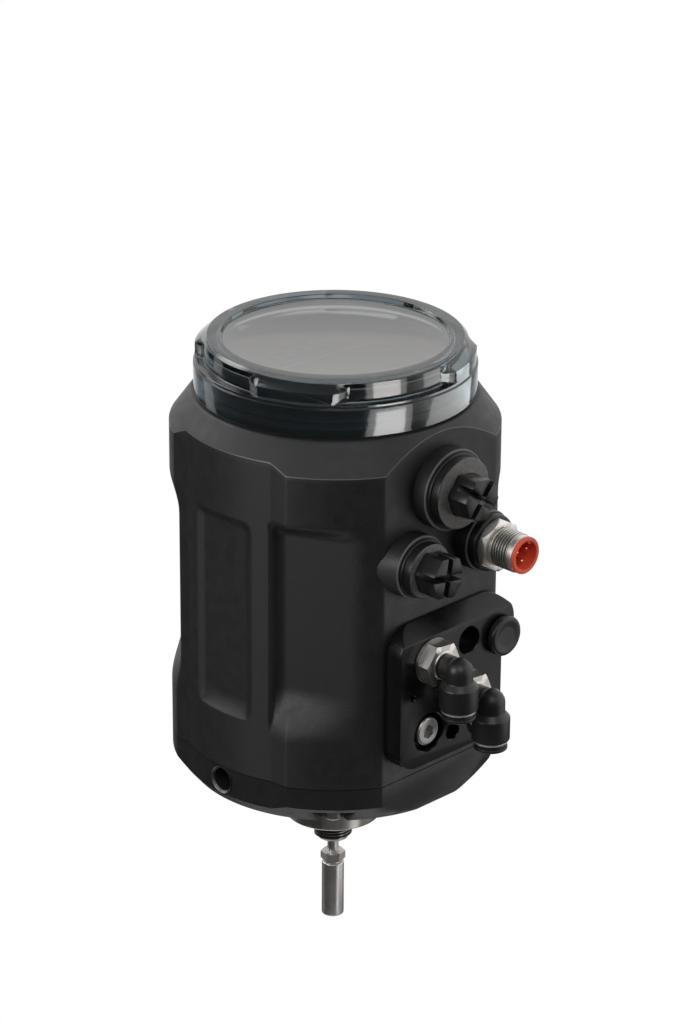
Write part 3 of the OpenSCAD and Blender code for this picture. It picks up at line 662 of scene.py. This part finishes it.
def make_lid():
    step = LID_BAND + 1.0
    wall = LID_R - 0.5
    slope = LID_TOP - 3.4
    foot = TOP + 0.3
    roof = NECK_TOP + 1.4
    shape = profile([(0, WINDOW_TOP), (WINDOW_R - 0.1, WINDOW_TOP, 0.4), (WINDOW_R + 0.5, LID_TOP, 0.5),
                     (LID_RING, LID_TOP, 0.5), (wall, slope), (wall, step + 0.4), (wall, step - 0.4),
                     (wall, LID_BAND + 0.05, 0.2), (LID_R, LID_BAND - 0.2, 0.2), (LID_R, foot, 0.5),
                     (LID_BORE, foot), (LID_BORE, roof), (LID_CAVITY, roof), (LID_CAVITY, WINDOW_UNDER, 0.6),
                     (0, WINDOW_UNDER)])

    def fine(low, high, cuts):
        """Cuts the outer wall's edge between two heights into short ones."""
        edges = [edge for edge in shape.edges
                 if min(vert.co.x for vert in edge.verts) > LID_RING - 0.5
                 and abs(min(vert.co.z for vert in edge.verts) - low) < 0.5
                 and abs(max(vert.co.z for vert in edge.verts) - high) < 0.5]
        bmesh.ops.subdivide_edges(shape, edges=edges, cuts=cuts)

    fine(step - 0.4, step + 0.4, 9)
    fine(step + 0.4, slope, 12)
    fine(slope, LID_TOP, 24)
    spun_fine(shape, FINE_STEPS)
    place = read_verts(shape)
    turn = np.arctan2(place[:, 1], place[:, 0])
    reach = np.hypot(place[:, 0], place[:, 1])
    height = place[:, 2]
    outside = (reach > LID_RING - 1) & (height > step - 0.6)
    for middle in GRIP_MIDDLES:
        off = (turn - math.radians(middle) + math.pi) % math.tau - math.pi
        half = GRIP_HALF - GRIP_LEAN * (height - step)
        ramp = np.clip((half - np.degrees(np.abs(off))) / GRIP_RAMP, 0, 1)
        cut = np.where(outside, ramp * ease(step - 0.2, step + 0.2, height), 0)
        reach = reach - cut * np.maximum(reach - GRIP_FLOOR, 0)
    move_verts(shape, np.stack([reach * np.cos(turn), reach * np.sin(turn), height], -1))
    shape.normal_update()
    for face in shape.faces:
        middle = face.calc_center_median()
        if face.normal.z > 0.95 and abs(middle.z - WINDOW_TOP) < 0.2:
            face.material_index = 1
    return show("smoked_lid", shape, "lid", ["lid"], SMOKED, 22, SMOKED_WINDOW)


smoked_lid = make_lid()


# Panel marks under the lid
DISPLAY_FRAME = (-21.2, -22.2, 21.2, 2.2)
KEY_PITCH = 8.5
KEY_Y = 11.7
KEY_HALF = 2.9
KEY_RISE = 0.9
LINE_DEPTH = 0.08


def line_frame(x0, y0, x1, y1, width, corner, low):
    inner = box_points(x0 + width, y0 + width, x1 - width, y1 - width)
    plate = slab(box_points(x0, y0, x1, y1), low, low + LINE_DEPTH, corner)
    return carved(plate, slab(inner, low - 1, low + 1, corner - width))


def make_panel_marks():
    mark = line_frame(*DISPLAY_FRAME, 0.5, 1.6, PANEL_Z)
    show("panel_frame_line", mark, "body", [], PANEL_LINE)
    for key in range(1, 5):
        x = (key - 2.5) * KEY_PITCH
        mark = line_frame(x - KEY_HALF, KEY_Y - KEY_HALF, x + KEY_HALF, KEY_Y + KEY_HALF, 0.4, 1.0,
                          PANEL_Z + KEY_RISE)
        show(f"key_{key}_line", mark, f"key_{key}", [], PANEL_LINE)


make_panel_marks()


# Base, spigot and push rod
SPIGOT_R = 15.0
SPIGOT_LOW = -19.5
SPIGOT_BORE = 5.5
NIPPLE_R = 6.0
NIPPLE_CORE = 5.3
NIPPLE_BORE = 4.47
NIPPLE_LOW = -28.5
ROD_R = 1.75
ROD_LOW = -45.0
ROD_TOP = 58.5
NUT_LOW = -36.5
NUT_TOP = -34.0
SLEEVE_R = 3.5
SLEEVE_NECK = 2.9
SLEEVE_LOW = -56.1
SLEEVE_TOP = -37.4
BASE_SCREWS_R = 43.0
CLAMP_Z = 8.0


def node_copy(name):
    """A CAD node's own shape with its loose triangles merged and its flat faces whole."""
    shape = bmesh.new()
    shape.from_mesh(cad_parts[name].data)
    bmesh.ops.scale(shape, vec=(1 / MM, 1 / MM, 1 / MM), verts=shape.verts)
    bmesh.ops.remove_doubles(shape, verts=shape.verts, dist=1e-3)
    bmesh.ops.dissolve_limit(shape, angle_limit=math.radians(0.5), verts=shape.verts, edges=shape.edges)
    return shape


def socket_head(radius, low, high, edge, socket, depth, shank, end):
    """A round screw head with a hexagon socket in its top."""
    body = turned([(0, end), (shank, end), (shank, low), (radius, low), (radius, high, edge), (0, high)], 48)
    hexagon = bmesh.new()
    bmesh.ops.create_circle(hexagon, cap_ends=True, segments=6, radius=socket)
    grown = bmesh.ops.extrude_face_region(hexagon, geom=hexagon.faces[:])
    bmesh.ops.translate(hexagon, vec=(0, 0, depth + 1), verts=verts_of(grown["geom"]))
    bmesh.ops.translate(hexagon, vec=(0, 0, high - depth), verts=hexagon.verts)
    bmesh.ops.recalc_face_normals(hexagon, faces=hexagon.faces)
    return carved(body, hexagon)


def make_lower():
    """The base and what is below it; gives back the base, and the bright pieces on the axis."""
    base = node_copy("base_plate")
    base_piece = show("base_plate_cast", base, "body", ["base_plate"], ANODISED, 25)
    spigot = turned([(SPIGOT_BORE, SPIGOT_LOW), (SPIGOT_R, SPIGOT_LOW, 0.6), (SPIGOT_R, 0), (13.5, 0),
                     (13.5, 1.2), (10, 1.2), (10, 15), (7, 15), (7, -8), (SPIGOT_BORE, -8)], 128)
    metal = [show("spigot_turned", spigot, "body", ["mounting_spigot"], SPIGOT_STEEL)]
    core = turned([(NIPPLE_BORE, -9), (NIPPLE_CORE, -9), (NIPPLE_CORE, NIPPLE_LOW + 0.9),
                   (4.7, NIPPLE_LOW, 0.2), (NIPPLE_BORE, NIPPLE_LOW)], 64)
    nipple = joined(core, thread(NIPPLE_R, 0.7, 1.0, NIPPLE_LOW + 0.5, -18.4))
    # The nipple's thread flanks are darker: painted shade between the ridges.
    metal.append(show("nipple_threaded", nipple, "body", ["threaded_nipple"], NIPPLE_STEEL, 32,
                      FLANK_PAINTED_SHADE))
    rod = turned([(0, ROD_LOW), (ROD_R, ROD_LOW), (ROD_R, ROD_TOP, 0.3), (0, ROD_TOP)], 48)
    metal.append(show("push_rod_turned", rod, "spindle", ["push_rod"], STEEL))
    nut = hex_nut(3.92, 1.7, NUT_LOW, NUT_TOP, 15)
    metal.append(show("lock_nut_hex", nut, "spindle", ["lock_nut"], STEEL))
    sleeve = turned([(0, SLEEVE_LOW), (SLEEVE_R, SLEEVE_LOW, 0.6), (SLEEVE_R, SLEEVE_TOP, 0.5),
                     (SLEEVE_NECK, SLEEVE_TOP), (SLEEVE_NECK, NUT_LOW), (0, NUT_LOW)], 64)
    metal.append(show("coupling_sleeve_turned", sleeve, "spindle", ["coupling_sleeve"], STEEL))
    heads = []
    for angle in (45, 135, 225, 315):
        head = socket_head(2.8, -4.5, -0.3, 0.6, 1.45, 1.7, 1.5, -20.5)
        spot = Matrix.Rotation(math.radians(angle), 4, "Z") @ Matrix.Translation((BASE_SCREWS_R, 0, 0))
        heads.append(put(head, spot @ Matrix.Rotation(math.pi, 4, "X")))
    show("base_screw_heads", joined(*heads), "body", ["base_screws"], STEEL)
    # A thin lighter ring laid on the clamp hole's chamfer: painted highlight.
    rim = turned([(3.65, 47.45), (4.3, 48.1), (4.5, 48.08), (3.65, 47.2)], 64)
    side = Matrix.Translation((0, 0, CLAMP_Z)) @ Matrix.Rotation(math.radians(-90), 4, "Y")
    show("clamp_hole_rim", put(rim, side), "body", [], RIM_PAINTED_HIGHLIGHT)
    return base_piece, metal


base_cast, rod_pieces = make_lower()


# Plugs and round connector
def make_plug(name, spot, radius, seal_r, head, turned_by):
    """A blanking plug on its boss: seal ring, flange, and a hexagon head with a cross of slots."""
    place = face_place(spot)
    seat = BOSS + 0.8
    flange_r = radius - 1.6
    flange_top = BOSS + 3.6
    foot = flange_top - 0.2
    web_top = BOSS + 5.6
    head_top = BOSS + 11
    flange = turned([(0, seat), (flange_r, seat), (flange_r, flange_top, 0.5), (0, flange_top)])
    lobes = []
    for quarter in range(4):
        lobe = turned([(0, foot), (head, foot), (head, head_top), (0, head_top)], 12)
        six_flats(lobe, head * FLAT_SHARE, turned_by)
        for angle, sign in ((30 + 90 * quarter, 1), (120 + 90 * quarter, -1)):
            turn = math.radians(angle + turned_by)
            normal = Vector((math.sin(turn), -math.cos(turn), 0)) * sign
            cut_away(lobe, -normal, normal)
        lobes.append(soften(lobe, 0.3, 2))
    web = turned([(0, foot), (head, foot), (head, web_top), (0, web_top)], 12)
    lobes.append(six_flats(web, head * 0.84, turned_by))
    show(name + "_head", put(joined(*lobes), place), "body", [], PLUG_PLASTIC)
    # The flange's front face takes the lighter rough grey; its side keeps the dark plastic as painted shade.
    for face in flange.faces:
        if face.normal.z > 0.8:
            face.material_index = 1
    show(name + "_flange", put(flange, place), "body", [name], PLUG_PLASTIC, 32, PLUG_FACE)
    seal_bore = radius - 3.6
    seal = turned([(seal_bore, BOSS), (seal_r, BOSS), (seal_r, seat, 0.3), (seal_bore, seat)])
    show(name + "_seal_ring", put(seal, place), "body", [name + "_seal"], RUBBER)


def make_connector():
    place = face_place(CONN)
    bore = 5.3
    shell_r = 5.75
    barrel_foot = CONN_HEX + 3
    lip = CONN_TIP - 1.05
    shoulder = CONN_TIP - 1
    socket_r = 4.45
    socket_floor = BOSS + 7
    socket_back = BOSS + 3
    pin_tip = CONN_TIP - 1.6
    seal = turned([(5.9, BOSS), (8.8, BOSS), (8.8, CONN_HEX, 0.7), (5.9, CONN_HEX)])
    show("connector_seal_ring", put(seal, place), "body", ["connector_seal"], RUBBER)
    nut = soften(hex_nut(8.6, bore, CONN_HEX, CONN_HEX + 3.1, 30, 1.1, 1.0), 0.2, 2, 20)
    show("connector_nut", put(nut, place), "body", [], SATIN_NICKEL)
    barrel = turned([(bore, barrel_foot), (5.4, barrel_foot), (5.4, CONN_TIP - 3.2),
                     (shell_r, CONN_TIP - 2.9), (shell_r, lip, 0.2), (bore, lip)])
    ridge = thread(6.0, 0.6, 1.0, barrel_foot, CONN_TIP - 2.0)
    shell = put(joined(barrel, ridge), place)
    # The shell's thread flanks are darker: painted shade between the ridges.
    show("connector_shell_threaded", shell, "body", ["connector_shell"], SATIN_NICKEL, 32,
         PLATED_FLANK_PAINTED_SHADE)
    carrier = turned([(0, socket_floor), (socket_r, socket_floor), (socket_r, CONN_TIP, 0.2),
                      (shell_r, CONN_TIP, 0.35), (shell_r, shoulder), (bore, shoulder), (bore, socket_back),
                      (0, socket_back)], 72)
    key_bar = soften(slab(box_points(-0.8, 3.6, 0.8, 4.7), socket_floor, CONN_TIP - 0.6), 0.15, 2)
    put(key_bar, Matrix.Rotation(math.radians(-30), 4, "Z"))
    insert = put(joined(carrier, key_bar), place)
    show("connector_insert_moulded", insert, "body", ["connector_insert"], RED)
    pins = []
    for angle in (33, 153, 273):
        pin = turned([(0, BOSS), (0.5, BOSS), (0.5, pin_tip, 0.35), (0, pin_tip)], 20)
        spot = Matrix.Rotation(math.radians(angle), 4, "Z") @ Matrix.Translation((2.25, 0, 0))
        pins.append(put(pin, spot))
    show("connector_contacts", put(joined(*pins), place), "body", ["connector_pins"], GOLD)


make_plug("large_plug", PLUG_A, 12.6, 11.6, 7.2, -70)
make_plug("small_plug", PLUG_B, 10.1, 9.0, 7.0, 50)
make_connector()


# Air block and fittings
STEM_BORE = 1.4
STEM_R = 2.4
STEM_END = ELBOW_Z - 1.2
NECK_FIT = 2.45
LEG_R = 4.2
LEG_HEAD_R = 5.8
LEG_END = 12.0
RING_BORE = 4.7
RING_R = 5.3
RING_SEAT = 8.0
TUBE_R = 3.05
COLLET_R = 4.65
COLLET_FLANGE_R = 5.15
COLLET_LOW = 9.4
COLLET_FLANGE = 14.0
COLLET_END = 15.0
VENT_EAR_R = 6.1
DENT = (-17.0, BLOCK_Z + 23.5)


def make_fitting(name, spot):
    """A push-in elbow fitting: stem with hexagon, washer, elbow, metal ring and release collet."""
    place = face_place(spot)
    down = place @ leg_place(ELBOW_Z)
    nut = hex_nut(7.1, STEM_BORE, HEX_Z, HEX_TOP, -6)
    collar = turned([(STEM_BORE, HEX_TOP - 0.5), (4.9, HEX_TOP - 0.5), (4.2, HEX_TOP + 0.3, 0.2),
                     (STEM_BORE, HEX_TOP + 0.3)], 64)
    pin = turned([(STEM_BORE, HEX_TOP), (STEM_R, HEX_TOP), (STEM_R, STEM_END), (STEM_BORE, STEM_END)], 40)
    show(name + "_stem_hex", put(joined(nut, collar, pin), place), "body", [name + "_stem"], NICKEL)
    washer = turned([(4.8, BLOCK), (7.2, BLOCK), (7.2, HEX_Z, 0.25), (4.8, HEX_Z)], 64)
    show(name + "_washer", put(washer, place), "body", [name + "_seal"], WASHER_GREY)
    neck = turned([(NECK_FIT, HEX_TOP + 0.6), (3.7, HEX_TOP + 0.6, 0.3), (3.7, ELBOW_Z), (NECK_FIT, ELBOW_Z)],
                  64)
    leg = turned([(0, -LEG_R), (LEG_R, -LEG_R, LEG_R), (LEG_R, 3.0, 0.5), (LEG_HEAD_R, 4.7, 0.8),
                  (LEG_HEAD_R, LEG_END, 0.6), (RING_R, LEG_END), (RING_R, RING_SEAT), (TUBE_R, RING_SEAT),
                  (TUBE_R, 3.4), (0, 3.4)], 72)
    elbow = joined(put(neck, place), put(leg, down))
    show(name + "_elbow_moulded", elbow, name + "_elbow", [name + "_elbow"], FITTING)
    ring_end = LEG_END + 0.7
    ring = turned([(RING_BORE, RING_SEAT), (RING_R, RING_SEAT), (RING_R, ring_end, 0.2),
                   (RING_BORE, ring_end)], 64)
    show(name + "_metal_ring", put(ring, down), name + "_elbow", [name + "_ring"], SATIN_NICKEL)
    collet = turned([(TUBE_R, COLLET_LOW), (COLLET_R, COLLET_LOW), (COLLET_R, COLLET_FLANGE),
                     (COLLET_FLANGE_R, COLLET_FLANGE, 0.25), (COLLET_FLANGE_R, COLLET_END, 0.3),
                     (TUBE_R, COLLET_END)], 64)
    show(name + "_release_collet", put(collet, down), name + "_collet", [name + "_collet"],
         FITTING)


def round_hole(radius, depth, spot, edge=0.3):
    """A cutter for a round hole in the block's front, with a small chamfer."""
    floor = BLOCK - depth
    mouth = radius + edge
    hole = turned([(0, floor), (radius, floor), (radius, BLOCK - edge), (mouth, BLOCK), (mouth, BLOCK + 1),
                   (0, BLOCK + 1)], 64)
    return put(hole, Matrix.Translation((*spot, 0)))


def make_block():
    place = face_place((0, 0))
    right = BLOCK_X + BLOCK_W
    ear_right = VENT[0] + VENT_EAR_R
    back = 0.05
    outline = [(BLOCK_X, BLOCK_Z), (right, BLOCK_Z), (right, VENT[1]), (ear_right, VENT[1]),
               (ear_right, BLOCK_TOP), (BLOCK_X, BLOCK_TOP)]
    block = slab(outline, back, BLOCK, 7.0, 7.0, 0, 0, 9.0, 9.0)
    cut_away(block, Vector((0, BLOCK_TOP - 4.2, BLOCK)), Vector((0, 5.5, 4.2)).normalized())
    soften(block, 0.9, 4, 25)
    holes = [round_hole(6.2, 3.4, spot) for spot in SCREWS]
    holes += [round_hole(4.3, 4.7, EXHAUST), round_hole(2.6, 3.5, PIT), round_hole(0.9, 1.2, DENT)]
    ear = turned([(0, back), (VENT_EAR_R, back), (VENT_EAR_R, BLOCK), (0, BLOCK)], 64)
    whole = joined(carved(block, *holes), put(ear, Matrix.Translation((*VENT, 0))))
    show("air_block_milled", put(whole, place), "body", ["air_block"], BLOCK_BLACK, 30)
    heads = []
    for spot in SCREWS:
        head = socket_head(4.5, BLOCK - 3.4, BLOCK - 0.2, 0.8, 2.3, 1.9, 2.1, -4.5)
        heads.append(put(head, Matrix.Translation((*spot, 0))))
    show("block_screw_heads", put(joined(*heads), place), "body", ["block_screws"], STEEL)
    cap_r = 6.3
    cap_top = BLOCK + 2.9
    cap = turned([(0, BLOCK - 1), (4, BLOCK - 1), (4, BLOCK), (5.6, BLOCK), (cap_r, BLOCK + 0.7, 0.3),
                  (cap_r, cap_top, 0.9), (4.9, cap_top, 0.8), (3.2, BLOCK + 2.65, 2.0), (0, BLOCK + 2.6)], 80)
    show("vent_cap_moulded", put(cap, face_place(VENT)), "body", ["vent_cap"], FITTING)


make_fitting("supply", PORT_A)
make_fitting("outlet", PORT_B)
make_block()

# Return spring, a fixed coil; the real one is pressed together as the rod rises
SPRING_LOW = 57.6
SPRING_TOP = 100.3
SPRING_R = 4.85
SPRING_TURNS = 9
WIRE_R = 0.33


def make_spring():
    steps = SPRING_TURNS * 32
    wire = bmesh.new()
    bmesh.ops.create_circle(wire, segments=10, radius=WIRE_R)
    start = Matrix.Translation((SPRING_R, 0, SPRING_LOW + WIRE_R))
    put(wire, start @ Matrix.Rotation(math.radians(90), 4, "X"))
    rise = SPRING_TOP - SPRING_LOW - 2 * WIRE_R
    sweep(wire, math.tau * SPRING_TURNS, steps, rise / steps)
    capped(wire)
    coil = show("return_spring_wire", wire, "body", ["return_spring"], SPRING)
    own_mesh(coil)


make_spring()

# CAD nodes that are shown as they are
KEPT = {
    "base_gasket": RUBBER, "guide_bush": BRASS, "clamp_screw": DARK_STEEL, "travel_sensor": DARK_PLASTIC,
    "sensor_wiper": PALE_PLASTIC, "board_posts": BRASS, "main_board": BOARD,
    "panel_plate": PANEL, "display": SCREEN, "key_1": KEY, "key_2": KEY, "key_3": KEY, "key_4": KEY,
    "lid_seal": RUBBER, "valve_block": ALLOY, "pilot_valves": DARK_PLASTIC, "block_gasket": RUBBER,
    "vent_filter": FILTER,
}
for node_name, look in KEPT.items():
    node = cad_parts[node_name]
    node.data.materials.clear()
    node.data.materials.append(look)

# Pale floor and soft studio light
CAMERA_SIDE = 225
FLOOR_Z = -0.25
FLOOR_R = 0.18
AMBIENT = 0.05


def seen(angle, rise):
    """A direction from the part: angle to the right of the camera, rise above the horizon."""
    turn = math.radians(CAMERA_SIDE + angle)
    lift = math.radians(rise)
    return Vector((math.cos(turn) * math.cos(lift), math.sin(turn) * math.cos(lift), math.sin(lift)))


# Each light: its middle, the cosines where it starts and is full, its strength
LIGHTS = (
    (seen(95, 12), 0.64, 0.9, 1.45),
    (seen(-116, 31), 0.94, 0.99, 6.5),
    (seen(10, 43), 0.9, 0.985, 2.5),
    (seen(0, 90), 0.3, 0.8, 0.22),
)
BACKDROP = (seen(180, 20), 0.55, 0.85)


def light_patch(nodes, links, place, aim, start, full, strength):
    """A soft round patch of light on the world around its middle."""
    dot = nodes.new("ShaderNodeVectorMath")
    dot.operation = "DOT_PRODUCT"
    dot.inputs[1].default_value = aim
    links.new(place.outputs["Generated"], dot.inputs[0])
    span = nodes.new("ShaderNodeMapRange")
    span.interpolation_type = "SMOOTHSTEP"
    span.inputs["From Min"].default_value = start
    span.inputs["From Max"].default_value = full
    span.inputs["To Min"].default_value = 0
    span.inputs["To Max"].default_value = strength
    links.new(dot.outputs["Value"], span.inputs["Value"])
    return span.outputs["Result"]


def summed(nodes, links, operation, *values):
    """The values put together two at a time."""
    total = values[0]
    for value in values[1:]:
        step = nodes.new("ShaderNodeMath")
        step.operation = operation
        links.new(total, step.inputs[0])
        links.new(value, step.inputs[1])
        total = step.outputs[0]
    return total


def white_for_view(nodes, links, shaded, backdrop=None):
    """Plain white to the camera, through the clear lid and in what mirrors the backdrop.

    All else gets the shaded light.
    """
    white = nodes.new("ShaderNodeEmission")
    rays = nodes.new("ShaderNodeLightPath")
    mix = nodes.new("ShaderNodeMixShader")
    share = summed(nodes, links, "MAXIMUM", rays.outputs["Is Camera Ray"],
                   rays.outputs["Is Transmission Ray"])
    if backdrop:
        mirrored = summed(nodes, links, "MULTIPLY", rays.outputs["Is Glossy Ray"], backdrop)
        share = summed(nodes, links, "MAXIMUM", share, mirrored)
    links.new(share, mix.inputs["Fac"])
    links.new(shaded.outputs[0], mix.inputs[1])
    links.new(white.outputs[0], mix.inputs[2])
    return mix


def make_world():
    world = bpy.data.worlds.new("studio")
    scene.world = world
    world.use_nodes = True
    nodes = world.node_tree.nodes
    links = world.node_tree.links
    nodes.clear()
    place = nodes.new("ShaderNodeTexCoord")
    backdrop = light_patch(nodes, links, place, *BACKDROP, 1.0)
    patches = [light_patch(nodes, links, place, *light) for light in LIGHTS]
    level = summed(nodes, links, "ADD", backdrop, *patches)
    studio = nodes.new("ShaderNodeBackground")
    lift = nodes.new("ShaderNodeMath")
    lift.inputs[1].default_value = AMBIENT
    links.new(level, lift.inputs[0])
    links.new(lift.outputs[0], studio.inputs["Strength"])
    out = nodes.new("ShaderNodeOutputWorld")
    links.new(white_for_view(nodes, links, studio, backdrop).outputs[0], out.inputs["Surface"])


def softbox(name, angle, rise, away, width, height, watts, level=LID_BAND, only=(), state="INCLUDE"):
    """A soft rectangular lamp, sizes in metres, that faces the part's axis at a level in millimetres.

    It lights some pieces alone or, by its state, leaves them out.
    """
    data = bpy.data.lights.new(name, "AREA")
    data.shape = "RECTANGLE"
    data.size = width
    data.size_y = height
    data.energy = watts
    lamp = bpy.data.objects.new(name, data)
    toward = seen(angle, rise)
    middle = Vector((0, 0, level * MM))
    facing = toward.to_track_quat("Z", "Y").to_matrix().to_4x4()
    lamp.matrix_world = Matrix.Translation(middle + toward * away) @ facing
    lamp.visible_camera = False
    scene.collection.objects.link(lamp)
    if only:
        lit = bpy.data.collections.new(name + "_lit")
        for piece in only:
            lit.objects.link(piece)
        for entry in lit.collection_objects:
            entry.light_linking.link_state = state
        lamp.light_linking.receiver_collection = lit


def make_floor():
    disc = bmesh.new()
    bmesh.ops.create_circle(disc, cap_ends=True, segments=96, radius=FLOOR_R)
    bmesh.ops.translate(disc, vec=(0, 0, FLOOR_Z), verts=disc.verts)
    mesh = bpy.data.meshes.new("floor")
    disc.to_mesh(mesh)
    disc.free()
    pale = bpy.data.materials.new("pale_floor")
    pale.use_nodes = True
    nodes = pale.node_tree.nodes
    links = pale.node_tree.links
    nodes.clear()
    matt = nodes.new("ShaderNodeBsdfDiffuse")
    matt.inputs["Color"].default_value = (0.85, 0.85, 0.85, 1)
    out = nodes.new("ShaderNodeOutputMaterial")
    links.new(white_for_view(nodes, links, matt).outputs[0], out.inputs["Surface"])
    mesh.materials.append(pale)
    floor = bpy.data.objects.new("floor", mesh)
    scene.collection.objects.link(floor)


make_world()

# Each softbox: angle and rise as seen from the part, distance, width, height, watts, level, pieces
softbox("softbox_front_left", -48, 12, 0.45, 0.26, 0.22, 1.0, only=[smoked_lid], state="EXCLUDE")
softbox("pocket_softbox", -50, -23, 0.4, 0.18, 0.26, 0.13, 95, [casting])
softbox("face_softbox", 74, -23, 0.4, 0.24, 0.24, 0.14, 20, [casting, base_cast])
softbox("lid_softbox_right", 43, -23, 0.4, 0.16, 0.13, 0.4, only=[smoked_lid])
softbox("lid_softbox_right_edge", 43, -23, 0.41, 0.25, 0.16, 0.3, only=[smoked_lid])
softbox("lid_softbox_far_right", 107, -23, 0.4, 0.4, 0.14, 0.4, only=[smoked_lid])
softbox("lid_softbox_left", -118, -23, 0.4, 0.1, 0.14, 0.03, only=[smoked_lid])
softbox("rod_softbox_right", 54, -22, 0.4, 0.14, 0.3, 0.17, -45, rod_pieces)
softbox("rod_softbox_front", 0, -22, 0.4, 0.3, 0.3, 0.015, -45, rod_pieces)
softbox("rod_softbox_left", -118, -22, 0.4, 0.22, 0.3, 0.045, -45, rod_pieces)
make_floor()
scene.view_settings.view_transform = "Standard"
